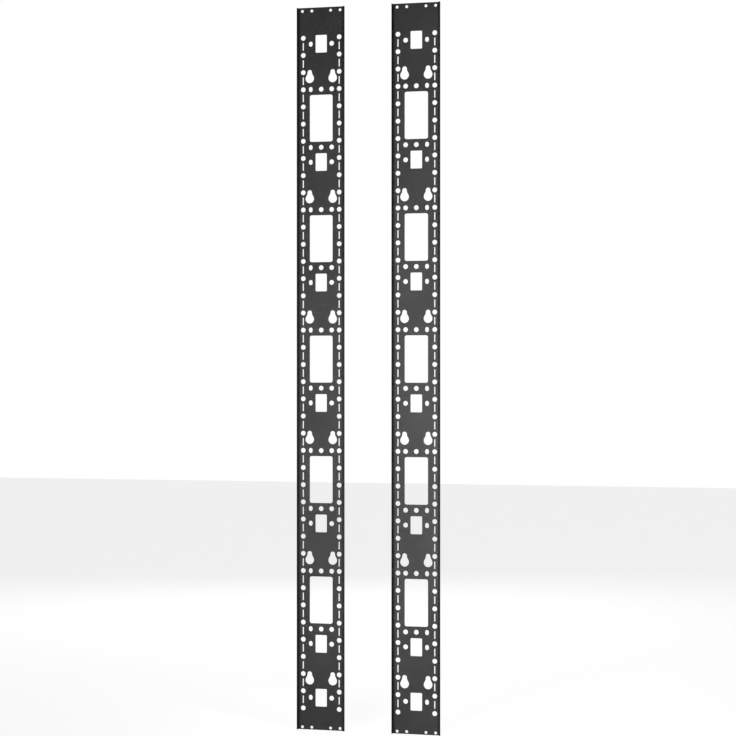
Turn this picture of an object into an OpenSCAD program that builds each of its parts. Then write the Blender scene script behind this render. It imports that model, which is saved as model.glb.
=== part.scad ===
// Pair of vertical cable manager strips for a 42-unit equipment rack.
// Each strip is one sheet-steel blank, punched and folded into a shallow channel.
// The channel is open to the front (-Y), its length runs up the rack (+Z), and
// the two strips are handed: the upright holes lie on their outer sides.

/* [Rack space] */
// Height of one rack unit
rack_pitch = 44.45; // [42:0.05:48]
// Rack units in one run of the punched pattern
run_units = 7; // [7:1:9]
// Runs of the pattern, one above another
runs = 6; // [2:1:7]
// Space left above and below each strip
end_gap = 0; // [0:0.5:3]

/* [Strips] */
// Width of one strip over its flanges
strip_w = 127; // [120:1:150]
// Space between the two strips
strip_gap = 127; // [20:1:400]
// Depth of a strip, from its back to the flanges' edges
strip_d = 10; // [6:0.5:25]
// Thickness of the sheet
sheet_t = 1.5; // [1:0.1:2.5]
// Inside radius of the folds
fold_r = 1.2; // [0.5:0.1:3]

/* [Side columns] */
// Distance from a strip's side to the centre line of its column
column_inset = 15; // [12:0.5:18]
// Diameter of the round holes
hole_d = 12.5; // [8:0.1:13.5]
// Height of the lowest column hole in the rack space, in rack units
lowest_hole_units = 1.24; // [1:0.01:1.5]
// Width of the strap slots
slot_w = 3; // [2:0.1:6]
// Height of the strap slots
slot_h = 20; // [12:0.5:26]

/* [Windows] */
// Width of the large windows
window_w = 61.5; // [40:0.5:70]
// Height of the large windows
window_h = 121; // [80:0.5:130]
// Corner radius of the large windows
window_r = 5; // [1:0.5:12]
// Width of the small windows
port_w = 30.5; // [20:0.5:36]
// Height of the small windows
port_h = 45.5; // [30:0.5:56]
// Corner radius of the small windows
port_r = 2.5; // [1:0.5:8]
// Metal left between a large window and the cross rows above and below it
window_land = 8.25; // [5:0.25:12]
// Metal left between a small window and the cross row above it
port_land = 9.25; // [5:0.25:14]
// Metal left between the top end and the highest small window
top_margin = 71.5; // [50:0.25:90]
// Metal left between the bottom end and the lowest small window
bottom_margin = 60.5; // [50:0.25:62]

/* [Cross rows] */
// Distance between neighbouring holes across a strip
cross_pitch = 28.25; // [26:0.25:30]
// Width of the upright holes on a strip's outer side
upright_w = 10; // [6:0.5:12]
// Height of the upright holes
upright_h = 13; // [12.5:0.5:18]

/* [Keyholes] */
// Distance between the two keyholes of a pair
key_spacing = 62; // [54:0.5:66]
// Diameter of a keyhole's head
key_head_d = 23; // [16:0.5:24]
// Width of a keyhole's neck
key_neck_w = 12.5; // [8:0.1:14]
// Distance a peg slides up from the head to its seat in the neck
key_travel = 16; // [14:0.5:22]
// Straight length of a neck's sides, from the seat down to its flared shoulders
key_straight = 4.8; // [2:0.2:5]

/* [Fixing holes] */
// Diameter of the fixing holes at both ends
fixing_d = 7.5; // [4:0.1:9]
// Pitch of the fixing holes across a strip
fixing_pitch = 25.4; // [20:0.1:27]
// Distance from the top end to the upper fixing holes' centres
top_fixing_inset = 8.6; // [6:0.1:14]
// Distance from the bottom end to the lower fixing holes' centres
bottom_fixing_inset = 6; // [5.5:0.1:14]

/* [Hidden] */
$fn = 64;

steel_black = [0.16, 0.16, 0.165];
// How far a punch reaches past the faces it cuts
punch_over = 1;

strip_h = runs * run_units * rack_pitch - 2 * end_gap;
strip_x = (strip_w + strip_gap) / 2;
back_y = strip_d / 2;

// Round holes up each side column, with a strap slot between every two
column_x = strip_w / 2 - column_inset;
column_z0 = lowest_hole_units * rack_pitch - end_gap;
column_holes = runs * run_units - 2;

// A reference row lies level with the second column hole of each run
row_z0 = column_z0 + rack_pitch;
run_h = run_units * rack_pitch;

// Drops from a reference row to what is punched below it
window_drop = hole_d / 2 + window_land + window_h / 2;
second_row_drop = 2 * window_drop;
port_drop = second_row_drop + hole_d / 2 + port_land + port_h / 2;

// Heights of the small windows' centres at the two ends
top_port_z = strip_h - top_margin - port_h / 2;
bottom_port_z = bottom_margin + port_h / 2;

// Slope of a keyhole's shoulders, which run tangent to its neck's round and its head
shoulder_slope = asin((key_head_d - key_neck_w) / 2 / (key_travel - key_straight));

function row_z(run) = row_z0 + run * run_h;

// Point where a shoulder leaves a round of diameter d, that far below the seat
function shoulder_point(side, d, drop) =
    [side * d / 2 * cos(shoulder_slope), d / 2 * sin(shoulder_slope) - drop];

// Rectangle with rounded corners, centred on the origin
module rounded_slot(w, h, r) {
    square([w - 2 * r, h], center = true);
    square([w, h - 2 * r], center = true);
    for (x = [-1, 1], y = [-1, 1])
        translate([x * (w / 2 - r), y * (h / 2 - r)]) circle(r = r);
}

// Slot with half-round ends, upright, centred on the origin
module round_ended_slot(w, h) {
    square([w, h - w], center = true);
    for (y = [-1, 1]) translate([0, y * (h - w) / 2]) circle(d = w);
}

// Keyhole with its seat at the origin and its head below, flared between them
module keyhole() {
    circle(d = key_neck_w);
    translate([-key_neck_w / 2, -key_travel]) square([key_neck_w, key_travel]);
    translate([0, -key_travel]) circle(d = key_head_d);
    polygon([
        shoulder_point(-1, key_neck_w, key_straight),
        shoulder_point(1, key_neck_w, key_straight),
        shoulder_point(1, key_head_d, key_travel),
        shoulder_point(-1, key_head_d, key_travel)
    ]);
}

// One side hole: round towards the middle of the pair, upright on the outer side
module side_hole(side, outer) {
    translate([side * cross_pitch, 0])
        if (side == outer) round_ended_slot(upright_w, upright_h);
        else circle(d = hole_d);
}

// Row of three holes across a strip
module cross_row(outer) {
    circle(d = hole_d);
    for (side = [-1, 1]) side_hole(side, outer);
}

// Small window with a hole on each side
module port(outer) {
    rounded_slot(port_w, port_h, port_r);
    for (side = [-1, 1]) side_hole(side, outer);
}

// Both columns of round holes and strap slots
module side_columns() {
    for (side = [-1, 1], k = [0 : column_holes - 1])
        translate([side * column_x, column_z0 + k * rack_pitch]) {
            circle(d = hole_d);
            if (k > 0) translate([0, -rack_pitch / 2]) round_ended_slot(slot_w, slot_h);
        }
}

// What one run of the pattern adds below its reference row
module run_below(outer) {
    cross_row(outer);
    translate([0, -window_drop]) rounded_slot(window_w, window_h, window_r);
    translate([0, -second_row_drop]) cross_row(outer);
    translate([0, -port_drop]) port(outer);
}

// Pair of keyholes whose seats are level with the column hole above the row
module keyhole_pair() {
    for (side = [-1, 1]) translate([side * key_spacing / 2, rack_pitch]) keyhole();
}

// Fixing holes across one end
module fixing_holes() {
    for (side = [-1, 1], n = [1, 2]) translate([side * n * fixing_pitch, 0]) circle(d = fixing_d);
}

// Everything punched out of one strip, drawn flat: x across, y up
module punched_pattern(outer) {
    side_columns();
    for (run = [0 : runs - 1]) translate([0, row_z(run)]) keyhole_pair();
    for (run = [1 : runs - 1]) translate([0, row_z(run)]) run_below(outer);
    for (z = [bottom_port_z, top_port_z]) translate([0, z]) port(outer);
    for (z = [bottom_fixing_inset, strip_h - top_fixing_inset]) translate([0, z]) fixing_holes();
}

// Solid outline of a channel: square at the front, round at its two back corners
module channel_outline(w, d, r) {
    translate([-w / 2, 0]) square([w, d - r]);
    translate([-w / 2 + r, 0]) square([w - 2 * r, d]);
    for (side = [-1, 1]) translate([side * (w / 2 - r), d - r]) circle(r = r);
}

// Section of the folded sheet, with its back at y = strip_d
module channel_section() {
    difference() {
        channel_outline(strip_w, strip_d, fold_r + sheet_t);
        translate([0, -punch_over])
            channel_outline(strip_w - 2 * sheet_t, strip_d - sheet_t + punch_over, fold_r);
    }
}

// One folded and punched strip, standing on z = 0, with outer as the sign of its outer side
module strip(outer) {
    difference() {
        translate([0, back_y - strip_d, 0]) linear_extrude(strip_h) channel_section();
        translate([0, back_y + punch_over, 0]) rotate([90, 0, 0])
            linear_extrude(sheet_t + 2 * punch_over) punched_pattern(outer);
    }
}

module left_strip() {
    color(steel_black) translate([-strip_x, 0, 0]) strip(-1);
}

module right_strip() {
    color(steel_black) translate([strip_x, 0, 0]) strip(1);
}

left_strip();
right_strip();
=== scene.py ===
"""Vertical cable manager: a pair of tall punched and folded steel strips for an equipment rack.

The CAD model is loaded as the frame. Each strip is made here again from the same sizes as a
finer skin, with rolled punch edges and true folds, and is coated, placed and lit.
"""

import math

import bpy
import numpy as np
from bpy.props import FloatProperty, FloatVectorProperty, IntProperty, PointerProperty
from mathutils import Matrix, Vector
from mathutils.geometry import delaunay_2d_cdt


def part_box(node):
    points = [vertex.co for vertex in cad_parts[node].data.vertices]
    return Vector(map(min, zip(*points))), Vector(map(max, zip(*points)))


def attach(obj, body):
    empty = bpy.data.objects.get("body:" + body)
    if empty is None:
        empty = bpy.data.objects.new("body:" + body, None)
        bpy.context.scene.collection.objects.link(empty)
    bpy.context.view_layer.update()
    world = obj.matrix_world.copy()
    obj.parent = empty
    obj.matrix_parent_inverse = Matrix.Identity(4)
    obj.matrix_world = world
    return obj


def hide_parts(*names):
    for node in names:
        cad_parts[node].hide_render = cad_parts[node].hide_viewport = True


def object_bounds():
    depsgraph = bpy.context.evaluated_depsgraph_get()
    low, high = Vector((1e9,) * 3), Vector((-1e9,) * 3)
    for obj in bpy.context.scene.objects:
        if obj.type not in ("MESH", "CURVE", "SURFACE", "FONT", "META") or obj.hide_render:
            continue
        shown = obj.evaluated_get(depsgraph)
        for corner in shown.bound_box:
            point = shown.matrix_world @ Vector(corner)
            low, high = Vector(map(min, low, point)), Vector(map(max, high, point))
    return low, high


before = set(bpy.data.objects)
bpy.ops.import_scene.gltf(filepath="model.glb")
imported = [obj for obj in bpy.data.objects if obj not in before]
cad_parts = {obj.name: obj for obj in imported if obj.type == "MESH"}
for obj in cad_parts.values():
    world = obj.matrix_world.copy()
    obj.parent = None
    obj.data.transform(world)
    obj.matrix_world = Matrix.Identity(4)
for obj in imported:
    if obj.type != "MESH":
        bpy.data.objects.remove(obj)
CAD_BOX = [list(corner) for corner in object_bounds()]
NODE_BOXES = {-1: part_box("left_strip"), 1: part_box("right_strip")}
NODE_NAMES = {-1: "left_strip", 1: "right_strip"}
STRIP_LOW, STRIP_HIGH = NODE_BOXES[1]

bl_info = {
    "name": "Vertical Cable Manager",
    "version": (1, 0, 0),
    "blender": (4, 5, 0),
    "location": "3D View > Sidebar > Cable Manager",
    "description": "Makes the punched and folded strips of a vertical cable manager",
    "category": "Add Mesh",
}


# ---------------------------------------------------------------- fixed numbers

# Segments in a quarter turn of each kind of outline
HOLE_STEPS, UPRIGHT_STEPS, STRAP_STEPS, FIXING_STEPS = 8, 7, 4, 6
WINDOW_STEPS, PORT_STEPS, KEYHOLE_STEPS = 6, 5, 6
# Points on a fold's arc, on the rolled edge's quarter turn and on the back edge's
FOLD_POINTS, ROLL_POINTS, BURR_POINTS = 8, 4, 3
# Points across each end of the flat web, and the share of the web that they span
WEB_POINTS, WEB_SPAN = 9, 0.8
# Points of an outline nearer than this are one point, in metres
TOUCHING = 1e-7
# Width of the land beside a cut edge and of the flat beside a fold, in punch rolls
LAND_ROLLS, GUARD_ROLLS = 2, 2.5
# How thin the coat is where a turn starts and ends, of 1 in its middle
TURN_END_THIN = 0.35

# Scale of the slow tone, and of the waves as a share of the grain's scale
TONE_SCALE, WAVE_SHARE = 7.0, 0.12
# How far the coat's colour swings to each side, as a share of itself
COLOUR_SWING = 0.28
# Share of the band of painted shade along a fold that has its full dark tone
FULL_SHADE_SHARE = 0.3
# How far the grain swings the roughness, and how much the thin edges take off it
ROUGHNESS_SWING, EDGE_POLISH = 0.07, 0.12

# Half the floor's width, in metres, its speckle's scale and how far that swings its colour
FLOOR_HALF, SPECKLE_SCALE, SPECKLE_SWING = 12.0, 40.0, 0.03
# What the seen floor gives by itself, and what it adds where the lamps reach it
FLOOR_GLOW, FLOOR_SHADE = 0.82, 0.42
# Width of the camera's sensor, in millimetres
SENSOR_WIDTH = 36.0


# ---------------------------------------------------------------- sizes and colours


class CableManagerSizes(bpy.types.PropertyGroup):
    """Sizes of one strip. Its width, depth and height come from the frame."""

    sheet_t: FloatProperty(
        name="Sheet thickness", description="Thickness of the coated sheet",
        default=0.0015, min=0.0005, max=0.004, precision=5, unit="LENGTH")
    fold_r: FloatProperty(
        name="Fold radius", description="Inside radius of the two long folds",
        default=0.0012, min=0.0003, max=0.004, precision=5, unit="LENGTH")
    roll_r: FloatProperty(
        name="Punch roll", description="Radius that the punch rolls each edge to on the open side",
        default=0.0003, min=0.00005, max=0.0006, precision=5, unit="LENGTH")
    burr_r: FloatProperty(
        name="Back edge", description="Radius of the coated edges on the back",
        default=0.00018, min=0.00005, max=0.0006, precision=5, unit="LENGTH")
    rack_pitch: FloatProperty(
        name="Rack pitch", description="Height of one rack unit, the pitch of the side holes",
        default=0.04445, min=0.02, max=0.1, precision=5, unit="LENGTH")
    run_units: IntProperty(
        name="Units in a run", description="Rack units in one run of the punched pattern",
        default=7, min=7, max=9)
    end_gap: FloatProperty(
        name="End gap", description="Space left above and below a strip in the rack",
        default=0.0, min=0.0, max=0.003, precision=5, unit="LENGTH")
    column_inset: FloatProperty(
        name="Column inset", description="Distance from a strip's side to its column of holes",
        default=0.015, min=0.01, max=0.03, precision=5, unit="LENGTH")
    lowest_hole: FloatProperty(
        name="Lowest hole", description="Height of the lowest side hole in the rack, in rack units",
        default=1.24, min=1.0, max=1.5)
    hole_d: FloatProperty(
        name="Hole diameter", description="Diameter of the round holes",
        default=0.0125, min=0.004, max=0.0135, precision=5, unit="LENGTH")
    strap_slot: FloatVectorProperty(
        name="Strap slot", description="Width and height of the strap slots",
        default=(0.003, 0.020), size=2, precision=5, unit="LENGTH")
    window: FloatVectorProperty(
        name="Large window", description="Width, height and corner radius of the large windows",
        default=(0.0615, 0.121, 0.005), size=3, precision=5, unit="LENGTH")
    port: FloatVectorProperty(
        name="Small window", description="Width, height and corner radius of the small windows",
        default=(0.0305, 0.0455, 0.0025), size=3, precision=5, unit="LENGTH")
    lands: FloatVectorProperty(
        name="Lands", description="Metal between a cross row and the large and the small window",
        default=(0.00825, 0.00925), size=2, precision=5, unit="LENGTH")
    margins: FloatVectorProperty(
        name="End margins", description="Metal from the top and the bottom end to a small window",
        default=(0.0715, 0.0605), size=2, precision=5, unit="LENGTH")
    cross_pitch: FloatProperty(
        name="Cross pitch", description="Distance between neighbouring holes across a strip",
        default=0.02825, min=0.02, max=0.03, precision=5, unit="LENGTH")
    upright_hole: FloatVectorProperty(
        name="Upright hole", description="Width and height of the holes on the outer side",
        default=(0.010, 0.013), size=2, precision=5, unit="LENGTH")
    key_spacing: FloatProperty(
        name="Keyhole spacing", description="Distance between the two keyholes of a pair",
        default=0.062, min=0.05, max=0.07, precision=5, unit="LENGTH")
    keyhole: FloatVectorProperty(
        name="Keyhole", description="Head diameter, neck width and travel of the keyholes",
        default=(0.023, 0.0125, 0.016), size=3, precision=5, unit="LENGTH")
    key_straight: FloatProperty(
        name="Straight neck", description="Straight length of a keyhole's neck below its seat",
        default=0.0048, min=0.002, max=0.005, precision=5, unit="LENGTH")
    fixing_hole: FloatVectorProperty(
        name="Fixing holes", description="Diameter and pitch of the fixing holes",
        default=(0.0075, 0.0254), size=2, precision=5, unit="LENGTH")
    fixing_insets: FloatVectorProperty(
        name="Fixing insets", description="Distance of the fixing holes from the top and bottom end",
        default=(0.0086, 0.006), size=2, precision=5, unit="LENGTH")


class CableManagerCoat(bpy.types.PropertyGroup):
    """Finish of the strips: fine-textured black powder coat, with painted shade along the folds."""

    colour: FloatVectorProperty(
        name="Coat colour", description="Colour of the powder coat",
        default=(0.045, 0.045, 0.046), size=3, min=0.0, max=1.0, subtype="COLOR")
    colour_thin: FloatVectorProperty(
        name="Thin coat colour", description="Colour where the coat is thin, on punched edges",
        default=(0.075, 0.075, 0.078), size=3, min=0.0, max=1.0, subtype="COLOR")
    roughness: FloatProperty(
        name="Roughness", description="Middle roughness of the coat",
        default=0.7, min=0.0, max=1.0, subtype="FACTOR")
    gloss: FloatProperty(
        name="Gloss", description="Strength of the coat's reflections",
        default=0.06, min=0.0, max=1.0, subtype="FACTOR")
    # Painted shade: the coat's colour is darkened along the folds and on the flanges, standing in
    # for the shade in the channel's corners
    fold_painted_shade: FloatProperty(
        name="Painted fold shade", description="Share of the coat's colour left along the folds",
        default=0.3, min=0.0, max=1.0, subtype="FACTOR")
    painted_shade_band: FloatProperty(
        name="Fold band", description="Width of the darker band along each fold",
        default=0.0085, min=0.001, max=0.02, precision=5, unit="LENGTH")
    grain: FloatProperty(
        name="Grain size", description="Size of the powder coat's grain",
        default=0.0006, min=0.0001, max=0.005, precision=5, unit="LENGTH")
    grain_depth: FloatProperty(
        name="Grain depth", description="Height of the powder coat's grain",
        default=0.00003, min=0.0, max=0.0005, precision=6, unit="LENGTH")


class CableManagerStage(bpy.types.PropertyGroup):
    """Camera, floor and lamps."""

    azimuth: FloatProperty(
        name="Camera azimuth", description="Turn of the camera to the right of the front",
        default=math.radians(16.0), subtype="ANGLE", unit="ROTATION")
    distance: FloatProperty(
        name="Camera distance", description="Distance from the camera to the strips' webs",
        default=5.747, min=0.5, max=50.0, unit="LENGTH")
    lens: FloatProperty(
        name="Lens", description="Focal length of the camera, in millimetres",
        default=109.47, min=10.0, max=400.0)
    side_step: FloatProperty(
        name="Side step", description="Sideways place of the camera, to its right",
        default=-0.00143, precision=5, unit="LENGTH")
    rise: FloatProperty(
        name="Rise", description="Height of the camera above the strips' middle",
        default=0.0016, precision=5, unit="LENGTH")
    floor_colour: FloatVectorProperty(
        name="Floor colour", description="Colour of the plain floor",
        default=(0.8, 0.8, 0.8), size=3, min=0.0, max=1.0, subtype="COLOR")
    sky: FloatProperty(
        name="Room light", description="Strength of the even light from all round",
        default=0.12, min=0.0, max=2.0)
    key_power: FloatProperty(
        name="Key lamp", description="Power of the low soft lamp in front, in watts",
        default=5.4, min=0.0, max=2000.0)
    high_power: FloatProperty(
        name="High lamp", description="Power of the soft lamp in front of the upper half, in watts",
        default=5.2, min=0.0, max=2000.0)
    low_power: FloatProperty(
        name="Low lamp", description="Power of the soft lamp in front of the left strip, in watts",
        default=0.6, min=0.0, max=2000.0)
    side_power: FloatProperty(
        name="Side lamp", description="Power of the tall soft lamp to the right, in watts",
        default=5.0, min=0.0, max=2000.0)
    back_power: FloatProperty(
        name="Back lamp", description="Power of the soft lamp behind, in watts",
        default=40.0, min=0.0, max=2000.0)


# ---------------------------------------------------------------- outlines


def slot_outline(width, height, radius, steps):
    """Outline of an upright rounded slot, anticlockwise, with its outward normals.

    At angle a, in quarter q of the turn, the point is the centre of that corner's arc plus
    radius times (cos a, sin a), with the centres at (+-(width/2 - radius),
    +-(height/2 - radius)). A circle is the slot whose sides have no straight length.
    """
    angle = np.linspace(0.0, math.pi / 2, steps + 1) + np.arange(4)[:, None] * math.pi / 2
    corner = np.array([[1, 1], [-1, 1], [-1, -1], [1, -1]])[:, None, :]
    normal = np.stack([np.cos(angle), np.sin(angle)], axis=-1)
    point = corner * [width / 2 - radius, height / 2 - radius] + radius * normal
    point, normal = point.reshape(-1, 2), normal.reshape(-1, 2)
    apart = np.linalg.norm(point - np.roll(point, -1, axis=0), axis=1) > TOUCHING
    return point[apart], normal[apart]


def keyhole_outline(head_d, neck_w, travel, straight, steps):
    """Outline of a flared keyhole, anticlockwise, with its seat at the origin, head below.

    The neck's half turn over the seat is neck/2 (cos a, sin a), and the head's arc is
    (0, -travel) plus head/2 (cos b, sin b). The shoulders between them are tangent to the
    head and slope by s from upright, sin s = (head - neck)/2 / (travel - straight). They
    meet the neck's sides in a corner whose normal is the mitre (+-1, tan(s/2)).
    """
    neck, head = neck_w / 2, head_d / 2
    slope = math.asin((head - neck) / (travel - straight))
    over = np.linspace(0.0, math.pi, 2 * steps + 1)
    under = np.linspace(math.pi - slope, 2 * math.pi + slope, 4 * steps + 1)
    neck_normal = np.stack([np.cos(over), np.sin(over)], axis=-1)
    head_normal = np.stack([np.cos(under), np.sin(under)], axis=-1)
    corner_z = (head * math.sin(slope) - travel
                + (head * math.cos(slope) - neck) / math.tan(slope))
    corner = np.array([[-neck, corner_z], [neck, corner_z]])
    mitre = np.array([[-1.0, math.tan(slope / 2)], [1.0, math.tan(slope / 2)]])
    point = np.concatenate([neck * neck_normal, corner[:1],
                            head * head_normal + [0.0, -travel], corner[1:]])
    return point, np.concatenate([neck_normal, mitre[:1], head_normal, mitre[1:]])


def blank_outline(half_width, height, stations, levels):
    """Outline of the flat blank, clockwise, with normals into the metal.

    Its ends carry the points (station, 0) and (station, height), its sides the points
    (+-half_width, level), and each corner's normal is the mitre of its two sides.
    """
    left = np.stack([np.full_like(levels, -half_width), levels], axis=-1)
    top = np.stack([stations, np.full_like(stations, height)], axis=-1)
    corners = np.array([[-half_width, 0.0], [-half_width, height],
                        [half_width, height], [half_width, 0.0]])
    point = np.concatenate([corners[:1], left, corners[1:2], top, corners[2:3],
                            left[::-1] * [-1, 1], corners[3:], top[::-1] - [0.0, height]])
    x, z = point.T
    normal = np.stack([(x < -half_width + TOUCHING) * 1.0 - (x > half_width - TOUCHING),
                       (z < TOUCHING) * 1.0 - (z > height - TOUCHING)], axis=-1)
    return point, normal


# ---------------------------------------------------------------- the punched pattern


def pairs(across, up):
    """Every pair of a place across and a place up, as rows."""
    return np.stack(np.meshgrid(across, up, indexing="ij"), axis=-1).reshape(-1, 2)


def punched_pattern(size, width, height, outer):
    """All cut-outs of one strip as (centres, outline, normals), flat: across, then up.

    Side holes stand at lowest + k rack pitches. A reference row, level with the second side
    hole of each run, carries the keyholes one pitch above it, and below it a cross row, a
    large window, a second cross row and a small window, each dropped by half its own height,
    its land and half its neighbour's. outer is -1 or 1, the side of the upright holes.
    """
    pitch, run = size.rack_pitch, size.run_units * size.rack_pitch
    runs = round((height + 2 * size.end_gap) / run)
    side = np.array([-1.0, 1.0]) * (width / 2 - size.column_inset)
    lowest = size.lowest_hole * pitch - size.end_gap
    levels = lowest + pitch * np.arange(runs * size.run_units - 2)
    rows = lowest + pitch + run * np.arange(runs)
    port_w, port_h, port_r = size.port
    window_w, window_h, window_r = size.window
    window_drop = size.hole_d / 2 + size.lands[0] + window_h / 2
    port_drop = 2 * window_drop + size.hole_d / 2 + size.lands[1] + port_h / 2
    cross = np.concatenate([rows[1:], rows[1:] - 2 * window_drop])
    ports = np.concatenate([rows[1:] - port_drop, [height - size.margins[0] - port_h / 2],
                            [size.margins[1] + port_h / 2]])
    beside = np.concatenate([cross, ports])
    fixing_d, fixing_pitch = size.fixing_hole
    top_inset, bottom_inset = size.fixing_insets
    round_centres = np.concatenate([pairs(side, levels), pairs([0.0], cross),
                                    pairs([-outer * size.cross_pitch], beside)])
    return [
        (round_centres, *slot_outline(size.hole_d, size.hole_d, size.hole_d / 2, HOLE_STEPS)),
        (pairs([outer * size.cross_pitch], beside),
         *slot_outline(*size.upright_hole, size.upright_hole[0] / 2, UPRIGHT_STEPS)),
        (pairs(side, levels[1:] - pitch / 2),
         *slot_outline(*size.strap_slot, size.strap_slot[0] / 2, STRAP_STEPS)),
        (pairs([0.0], rows[1:] - window_drop),
         *slot_outline(window_w, window_h, window_r, WINDOW_STEPS)),
        (pairs([0.0], ports), *slot_outline(port_w, port_h, port_r, PORT_STEPS)),
        (pairs(np.array([-0.5, 0.5]) * size.key_spacing, rows + pitch),
         *keyhole_outline(*size.keyhole, size.key_straight, KEYHOLE_STEPS)),
        (pairs(np.array([-2, -1, 1, 2]) * fixing_pitch, [bottom_inset, height - top_inset]),
         *slot_outline(fixing_d, fixing_d, fixing_d / 2, FIXING_STEPS)),
    ]


# ---------------------------------------------------------------- the strip's skin


def edge_profile(sheet_t, roll_r, burr_r):
    """Section of a cut edge as (distance into the metal, depth from the open side, thinness).

    From a flat land on the open side it rolls over a quarter turn of roll_r, runs straight
    through the sheet, and turns by burr_r onto the land on the back. Thinness says how much
    the coat has drawn back from the corner: most in the middle of each turn.
    """
    def thinness(turn):
        return TURN_END_THIN + (1 - TURN_END_THIN) * np.sin(2 * turn)

    turn = np.linspace(0.0, math.pi / 2, ROLL_POINTS)
    front = np.stack([roll_r * (1 - np.sin(turn)), roll_r * (1 - np.cos(turn)),
                      thinness(turn)], axis=-1)
    turn = np.linspace(math.pi / 2, 0.0, BURR_POINTS)
    back = np.stack([burr_r * (1 - np.sin(turn)), sheet_t - burr_r * (1 - np.cos(turn)),
                     thinness(turn)], axis=-1)
    land = LAND_ROLLS * roll_r
    return np.concatenate([[[land, 0.0, 0.0]], front, back, [[land, sheet_t, 0.0]]])


def carried_profile(centres, outline, normals, profile):
    """Edge profiles carried round outlines: points, thinness, quads and the points' numbers.

    Point (hole, i, j) is centre(hole) + outline(i) + into(j) normal(i), at depth(j). The
    quads join i to i + 1, closing the ring, and j to j + 1.
    """
    flat = (centres[:, None, None, :] + outline[None, :, None, :]
            + profile[None, None, :, :1] * normals[None, :, None, :])
    depth = np.broadcast_to(profile[:, 1], flat.shape[:3])
    thin = np.broadcast_to(profile[:, 2], flat.shape[:3])
    index = np.arange(depth.size).reshape(depth.shape)
    ahead = np.roll(index, -1, axis=1)
    quads = np.stack([index[..., :-1], ahead[..., :-1], ahead[..., 1:], index[..., 1:]], axis=-1)
    points = np.concatenate([flat, depth[..., None]], axis=-1)
    return points.reshape(-1, 3), thin.ravel(), quads.reshape(-1, 4), index


def folded(points, half_width, face_y, sheet_t, fold_r):
    """Bends a flat blank into a channel: (across, up, depth) to (x, y, z).

    Up to the fold, x is across and y is face_y + depth. In the fold the angle is (across -
    start)/fold_r and the point lies fold_r + depth from the fold's centre. Past the quarter
    turn it runs straight on towards the open side. The left half mirrors the right.
    """
    across, up, depth = points.T
    start = half_width - sheet_t - fold_r
    past = np.maximum(np.abs(across) - start, 0.0)
    angle = np.minimum(past / fold_r, math.pi / 2)
    straight = np.maximum(past - fold_r * math.pi / 2, 0.0)
    reach = np.where(past > 0.0, start + (fold_r + depth) * np.sin(angle), np.abs(across))
    y = face_y - fold_r + (fold_r + depth) * np.cos(angle) - straight
    return np.stack([np.sign(across) * reach, y, up], axis=-1)


def strip_skin(size, width, depth, height, back_y, outer):
    """Closed skin of one strip at x = 0: points, thinness, quads and triangles.

    The edges of every cut-out and of the blank are profiles carried round their outlines.
    The flat metal between them is one constrained triangulation, used for both faces, with
    lines along the folds. The whole blank is then folded by its formula.
    """
    start = width / 2 - size.sheet_t - size.fold_r
    bend = size.fold_r * math.pi / 2
    half_blank = start + bend + depth - size.sheet_t - size.fold_r
    guard = GUARD_ROLLS * size.roll_r
    fold_lines = start + np.concatenate(
        [[-guard], np.linspace(0.0, bend, FOLD_POINTS), [bend + guard]])
    fold_lines = np.concatenate([-fold_lines[::-1], fold_lines])
    count = round(height / size.rack_pitch)
    levels = height * (np.arange(count) + 0.5) / count
    web = np.linspace(-WEB_SPAN, WEB_SPAN, WEB_POINTS) * start
    stations = np.sort(np.concatenate([fold_lines, web]))
    profile = edge_profile(size.sheet_t, size.roll_r, size.burr_r)

    outlines = [(np.zeros((1, 2)), *blank_outline(half_blank, height, stations, levels))]
    outlines += punched_pattern(size, width, height, outer)
    points, thin, quads, front_ids, back_ids, rings = [], [], [], [], [], []
    first = flat_first = 0
    for centres, outline, normals in outlines:
        ring_points, ring_thin, ring_quads, index = carried_profile(
            centres, outline, normals, profile)
        points.append(ring_points)
        thin.append(ring_thin)
        quads.append(ring_quads + first)
        front_ids.append(index[..., 0].ravel() + first)
        back_ids.append(index[..., -1].ravel() + first)
        shape = index.shape[:2]
        rings += (np.arange(shape[0] * shape[1]).reshape(shape) + flat_first).tolist()
        first += index.size
        flat_first += shape[0] * shape[1]

    # Fold lines: their own points at each level, front and back, tied to the blank's two ends
    grid = pairs(fold_lines, levels)
    face = np.column_stack([grid, np.zeros(len(grid))])
    points += [face, face + [0.0, 0.0, size.sheet_t]]
    thin += [np.zeros(2 * len(grid))]
    front_ids.append(np.arange(len(grid)) + first)
    back_ids.append(np.arange(len(grid)) + first + len(grid))
    points, front_ids, back_ids = map(np.concatenate, (points, front_ids, back_ids))
    flat = points[front_ids, :2]
    line = (np.arange(len(grid)) + flat_first).reshape(len(fold_lines), len(levels))
    blank_x, blank_z = flat[:len(outlines[0][1])].T
    apart = np.abs(blank_x[None, :] - fold_lines[:, None])
    low = np.where(blank_z < height / 2, apart, np.inf).argmin(axis=1)
    high = np.where(blank_z > height / 2, apart, np.inf).argmin(axis=1)
    line = np.column_stack([low, line, high])
    edges = np.stack([line[:, :-1], line[:, 1:]], axis=-1).reshape(-1, 2)

    rings[0].reverse()
    _, _, faces, origin, _, inside = delaunay_2d_cdt(
        flat.tolist(), edges.tolist(), rings, 1, 1e-9, True)
    origin = np.array(origin)[:, 0]
    metal = np.fromiter(map(len, inside), int) == 1
    faces = origin[np.array(faces)[metal]]
    triangles = np.concatenate([front_ids[faces], back_ids[faces][:, ::-1]])
    skin = folded(points, width / 2, back_y - size.sheet_t, size.sheet_t, size.fold_r)
    return skin, np.concatenate(thin), np.concatenate(quads), triangles


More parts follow.
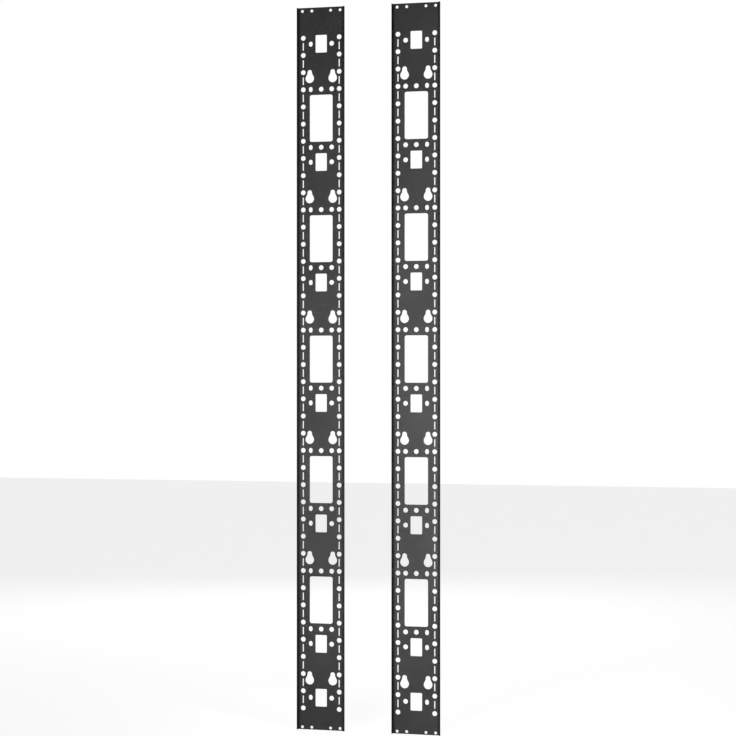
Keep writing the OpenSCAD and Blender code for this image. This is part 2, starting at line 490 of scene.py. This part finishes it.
def mesh_piece(name, points, quads, triangles):
    """Object at the origin whose smooth mesh holds the given points, quads and triangles."""
    mesh = bpy.data.meshes.new(name)
    corners = np.concatenate([quads.ravel(), triangles.ravel()])
    starts = np.concatenate([4 * np.arange(len(quads)),
                             quads.size + 3 * np.arange(len(triangles))])
    mesh.vertices.add(len(points))
    mesh.vertices.foreach_set("co", points.ravel())
    mesh.loops.add(len(corners))
    mesh.loops.foreach_set("vertex_index", corners)
    mesh.polygons.add(len(starts))
    mesh.polygons.foreach_set("loop_start", starts)
    mesh.polygons.foreach_set("use_smooth", np.ones(len(starts), bool))
    mesh.update(calc_edges=True)
    if mesh.validate():
        raise RuntimeError(f"{name} has faulty faces")
    piece = bpy.data.objects.new(name, mesh)
    bpy.context.collection.objects.link(piece)
    return piece


# ---------------------------------------------------------------- materials


def add_node(tree, kind, **settings):
    """Adds a shader node. Settings that name an input socket set it, the others the node."""
    node = tree.nodes.new(kind)
    for key, value in settings.items():
        socket = key.replace("_", " ").title()
        if socket in node.inputs:
            node.inputs[socket].default_value = value
        else:
            setattr(node, key, value)
    return node


def mixed_colour(tree, factor, first, second):
    """Output of a colour mix. first and second are an output to link or a plain colour."""
    mix = add_node(tree, "ShaderNodeMix", data_type="RGBA")
    sockets = [socket for socket in mix.inputs if socket.type == "RGBA"]
    for socket, colour in zip(sockets, (first, second)):
        if isinstance(colour, bpy.types.NodeSocket):
            tree.links.new(colour, socket)
        else:
            socket.default_value = (*colour, 1.0)
    tree.links.new(factor, mix.inputs["Factor"])
    return [socket for socket in mix.outputs if socket.type == "RGBA"][0]


def powder_coat(coat, strip_x, half_width):
    """Fine-textured black powder coat on steel.

    Three sizes of pattern on object coordinates: slow shifts of tone along the sheet, the
    gentle waves of a sprayed coat, and the powder's grain, which also spreads the gloss. On
    punched edges the coat is thinner, a little greyer and smoother. Along the folds and on
    the flanges the colour carries painted shade. It is darker by the distance | |x| - strip_x |
    from the strip's middle line, standing in for the shade in the channel's corners.
    """
    material = bpy.data.materials.new("black_powder_coat")
    material.use_nodes = True
    tree = material.node_tree
    shader = tree.nodes["Principled BSDF"]
    shader.inputs["Specular IOR Level"].default_value = coat.gloss
    shader.inputs["Metallic"].default_value = 0.0
    link = tree.links.new
    place = add_node(tree, "ShaderNodeTexCoord").outputs["Object"]

    tone = add_node(tree, "ShaderNodeTexNoise", scale=TONE_SCALE, detail=3.0, roughness=0.55)
    wave = add_node(tree, "ShaderNodeTexNoise", scale=WAVE_SHARE / coat.grain, detail=2.0)
    grain = add_node(tree, "ShaderNodeTexNoise", scale=1.0 / coat.grain, detail=2.0,
                     roughness=0.6)
    for texture in (tone, wave, grain):
        link(place, texture.inputs["Vector"])

    # Colour: the coat's own, darker or lighter by its swing with tone and grain
    shift = add_node(tree, "ShaderNodeMath", operation="ADD")
    link(tone.outputs["Fac"], shift.inputs[0])
    link(grain.outputs["Fac"], shift.inputs[1])
    spread = add_node(tree, "ShaderNodeMapRange", from_min=0.6, from_max=1.4)
    link(shift.outputs[0], spread.inputs["Value"])
    body = mixed_colour(tree, spread.outputs["Result"],
                        [(1 - COLOUR_SWING) * c for c in coat.colour],
                        [(1 + COLOUR_SWING) * c for c in coat.colour])

    # Painted shade, darker towards the folds: a smooth step over the inner part of the band
    across = add_node(tree, "ShaderNodeSeparateXYZ")
    link(place, across.inputs[0])
    from_pair = add_node(tree, "ShaderNodeMath", operation="ABSOLUTE")
    link(across.outputs["X"], from_pair.inputs[0])
    from_middle = add_node(tree, "ShaderNodeMath", operation="SUBTRACT")
    from_middle.inputs[1].default_value = strip_x
    link(from_pair.outputs[0], from_middle.inputs[0])
    distance = add_node(tree, "ShaderNodeMath", operation="ABSOLUTE")
    link(from_middle.outputs[0], distance.inputs[0])
    painted_shade_mask = add_node(tree, "ShaderNodeMapRange", interpolation_type="SMOOTHSTEP",
                         from_min=half_width - coat.painted_shade_band,
                         from_max=half_width - FULL_SHADE_SHARE * coat.painted_shade_band)
    link(distance.outputs[0], painted_shade_mask.inputs["Value"])
    # The coat's colour with the painted shade of the folds mixed in
    with_painted_shade = mixed_colour(tree, painted_shade_mask.outputs["Result"], body,
                          [coat.fold_painted_shade * c for c in coat.colour])

    # Thin coat on the edges, broken up by the waves
    thin = add_node(tree, "ShaderNodeAttribute", attribute_name="thin_coat")
    patchy = add_node(tree, "ShaderNodeMapRange", from_min=0.35, from_max=0.65)
    link(wave.outputs["Fac"], patchy.inputs["Value"])
    worn = add_node(tree, "ShaderNodeMath", operation="MULTIPLY")
    link(thin.outputs["Fac"], worn.inputs[0])
    link(patchy.outputs["Result"], worn.inputs[1])
    link(mixed_colour(tree, worn.outputs[0], with_painted_shade, coat.colour_thin),
         shader.inputs["Base Color"])

    # Gloss: rougher in the grain's hollows, smoother on the thin edges
    gloss = add_node(tree, "ShaderNodeMapRange", from_min=0.3, from_max=0.7,
                     to_min=coat.roughness + ROUGHNESS_SWING,
                     to_max=coat.roughness - ROUGHNESS_SWING)
    link(grain.outputs["Fac"], gloss.inputs["Value"])
    smoother = add_node(tree, "ShaderNodeMath", operation="MULTIPLY_ADD")
    smoother.inputs[1].default_value = -EDGE_POLISH
    link(worn.outputs[0], smoother.inputs[0])
    link(gloss.outputs["Result"], smoother.inputs[2])
    link(smoother.outputs[0], shader.inputs["Roughness"])

    waves = add_node(tree, "ShaderNodeBump", strength=1.0, distance=coat.grain_depth)
    link(wave.outputs["Fac"], waves.inputs["Height"])
    grains = add_node(tree, "ShaderNodeBump", strength=1.0, distance=coat.grain_depth)
    link(grain.outputs["Fac"], grains.inputs["Height"])
    link(waves.outputs["Normal"], grains.inputs["Normal"])
    link(grains.outputs["Normal"], shader.inputs["Normal"])
    return material


def seen_rays(tree):
    """Light Path value that is 1 on camera, glossy and transmission rays, and 0 on others."""
    path = add_node(tree, "ShaderNodeLightPath")
    first = add_node(tree, "ShaderNodeMath", operation="MAXIMUM")
    both = add_node(tree, "ShaderNodeMath", operation="MAXIMUM")
    tree.links.new(path.outputs["Is Camera Ray"], first.inputs[0])
    tree.links.new(path.outputs["Is Glossy Ray"], first.inputs[1])
    tree.links.new(first.outputs[0], both.inputs[0])
    tree.links.new(path.outputs["Is Transmission Ray"], both.inputs[1])
    return both.outputs[0]


def pale_floor(stage):
    """Plain pale floor: matt to the light, and near white where it is seen, with its shadows."""
    material = bpy.data.materials.new("pale_floor")
    material.use_nodes = True
    tree = material.node_tree
    tree.nodes.clear()
    link = tree.links.new
    speckle = add_node(tree, "ShaderNodeTexNoise", scale=SPECKLE_SCALE, detail=4.0)
    link(add_node(tree, "ShaderNodeTexCoord").outputs["Object"], speckle.inputs["Vector"])
    colour = add_node(tree, "ShaderNodeMapRange",
                      to_min=(1 - SPECKLE_SWING) * stage.floor_colour[0],
                      to_max=(1 + SPECKLE_SWING) * stage.floor_colour[0])
    link(speckle.outputs["Fac"], colour.inputs["Value"])
    matt = add_node(tree, "ShaderNodeBsdfDiffuse")
    link(colour.outputs["Result"], matt.inputs["Color"])
    glow = add_node(tree, "ShaderNodeEmission", strength=FLOOR_GLOW)
    shaded = add_node(tree, "ShaderNodeBsdfDiffuse")
    shaded.inputs["Color"].default_value = (FLOOR_SHADE, FLOOR_SHADE, FLOOR_SHADE, 1.0)
    seen = add_node(tree, "ShaderNodeAddShader")
    link(glow.outputs[0], seen.inputs[0])
    link(shaded.outputs[0], seen.inputs[1])
    mix = add_node(tree, "ShaderNodeMixShader")
    link(seen_rays(tree), mix.inputs[0])
    link(matt.outputs[0], mix.inputs[1])
    link(seen.outputs[0], mix.inputs[2])
    link(mix.outputs[0], add_node(tree, "ShaderNodeOutputMaterial").inputs["Surface"])
    return material


# ---------------------------------------------------------------- operators


class CABLEMANAGER_OT_strips(bpy.types.Operator):
    """Make the two handed strips, coated in black"""

    bl_idname = "cable_manager.strips"
    bl_label = "Punched Strips"

    def execute(self, context):
        size, coat = context.scene.cable_manager_sizes, context.scene.cable_manager_coat
        width, depth, height = STRIP_HIGH - STRIP_LOW
        material = powder_coat(coat, (STRIP_LOW.x + STRIP_HIGH.x) / 2, width / 2)
        for outer, (low, high) in NODE_BOXES.items():
            points, thin, quads, triangles = strip_skin(
                size, width, depth, height, high.y, outer)
            points = points + [(low.x + high.x) / 2, 0.0, low.z]
            name = "left_punched_strip" if outer < 0 else "right_punched_strip"
            piece = mesh_piece(name, points, quads, triangles)
            thin_coat = piece.data.attributes.new("thin_coat", "FLOAT", "POINT")
            thin_coat.data.foreach_set("value", thin)
            piece.data.materials.append(material)
            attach(piece, "root")
            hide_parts(NODE_NAMES[outer])
        return {"FINISHED"}


class CABLEMANAGER_OT_stage(bpy.types.Operator):
    """Make the pale floor, the soft lamps, the white room and the camera"""

    bl_idname = "cable_manager.stage"
    bl_label = "Stage"

    def execute(self, context):
        scene, stage = context.scene, context.scene.cable_manager_stage
        low, high = map(Vector, CAD_BOX)
        middle = Vector(((low.x + high.x) / 2, high.y, (low.z + high.z) / 2))

        corners = FLOOR_HALF * np.array([[-1, -1, 0], [1, -1, 0], [1, 1, 0], [-1, 1, 0]], float)
        floor = mesh_piece("floor", corners, np.array([[0, 1, 2, 3]]), np.empty((0, 3), int))
        floor.data.materials.append(pale_floor(stage))

        world = bpy.data.worlds.new("white_room")
        scene.world = world
        world.use_nodes = True
        tree = world.node_tree
        tree.nodes.clear()
        even = add_node(tree, "ShaderNodeBackground", strength=stage.sky)
        white = add_node(tree, "ShaderNodeBackground", strength=1.0)
        for background in (even, white):
            background.inputs["Color"].default_value = (1.0, 1.0, 1.0, 1.0)
        mix = add_node(tree, "ShaderNodeMixShader")
        tree.links.new(seen_rays(tree), mix.inputs[0])
        tree.links.new(even.outputs[0], mix.inputs[1])
        tree.links.new(white.outputs[0], mix.inputs[2])
        tree.links.new(mix.outputs[0],
                       add_node(tree, "ShaderNodeOutputWorld").inputs["Surface"])

        # Each lamp's name, power, place, aim, width and height, and spread in degrees
        lamps = (
            ("key_lamp", stage.key_power, (0.0, -1.5, 0.5), (0.4, 0.0, 0.65), (0.5, 0.5), 90),
            ("high_lamp", stage.high_power, (-0.2, -3.0, 1.5), (0.3, 0.0, 1.3), (0.8, 0.8), 60),
            ("low_lamp", stage.low_power, (-0.6, -2.4, 0.45), (-0.2, 0.0, 0.4), (0.5, 0.5), 50),
            ("side_lamp", stage.side_power, (0.6, -0.7, 1.0), (0.13, 0.0, 1.0), (0.2, 1.1), 180),
            ("back_lamp", stage.back_power, (-1.2, 3.2, 2.4), middle, (2.0, 2.0), 180))
        for name, power, place, aim, across, spread in lamps:
            lamp = bpy.data.lights.new(name, "AREA")
            lamp.shape = "RECTANGLE"
            lamp.size, lamp.size_y = across
            lamp.energy = power
            lamp.spread = math.radians(spread)
            holder = bpy.data.objects.new(name, lamp)
            holder.location = place
            look = Vector(aim) - Vector(place)
            holder.rotation_euler = look.to_track_quat("-Z", "Y").to_euler()
            scene.collection.objects.link(holder)

        turn = stage.azimuth
        camera = bpy.data.cameras.new("camera")
        camera.lens = stage.lens
        camera.sensor_width = SENSOR_WIDTH
        holder = bpy.data.objects.new("camera", camera)
        back = Vector((math.sin(turn), -math.cos(turn), 0.0))
        right = Vector((math.cos(turn), math.sin(turn), 0.0))
        holder.location = (middle + stage.distance * back + stage.side_step * right
                           + Vector((0.0, 0.0, stage.rise)))
        holder.rotation_euler = (math.pi / 2, 0.0, turn)
        scene.collection.objects.link(holder)
        scene.camera = holder
        scene.view_settings.view_transform = "Standard"
        return {"FINISHED"}


class CABLEMANAGER_PT_panel(bpy.types.Panel):
    """Sizes, finish and stage of the cable manager"""

    bl_idname = "CABLEMANAGER_PT_panel"
    bl_label = "Cable Manager"
    bl_space_type = "VIEW_3D"
    bl_region_type = "UI"
    bl_category = "Cable Manager"

    def draw(self, context):
        for group, operator in ((context.scene.cable_manager_sizes, "cable_manager.strips"),
                                (context.scene.cable_manager_coat, None),
                                (context.scene.cable_manager_stage, "cable_manager.stage")):
            box = self.layout.box()
            for name in group.__annotations__:
                box.prop(group, name)
            if operator:
                box.operator(operator)


CLASSES = (CableManagerSizes, CableManagerCoat, CableManagerStage,
           CABLEMANAGER_OT_strips, CABLEMANAGER_OT_stage, CABLEMANAGER_PT_panel)


def register():
    for cls in CLASSES:
        bpy.utils.register_class(cls)
    bpy.types.Scene.cable_manager_sizes = PointerProperty(type=CableManagerSizes)
    bpy.types.Scene.cable_manager_coat = PointerProperty(type=CableManagerCoat)
    bpy.types.Scene.cable_manager_stage = PointerProperty(type=CableManagerStage)


def unregister():
    del bpy.types.Scene.cable_manager_stage
    del bpy.types.Scene.cable_manager_coat
    del bpy.types.Scene.cable_manager_sizes
    for cls in reversed(CLASSES):
        bpy.utils.unregister_class(cls)


def main():
    register()
    bpy.ops.cable_manager.strips()
    bpy.ops.cable_manager.stage()


if __name__ == "__main__":
    main()
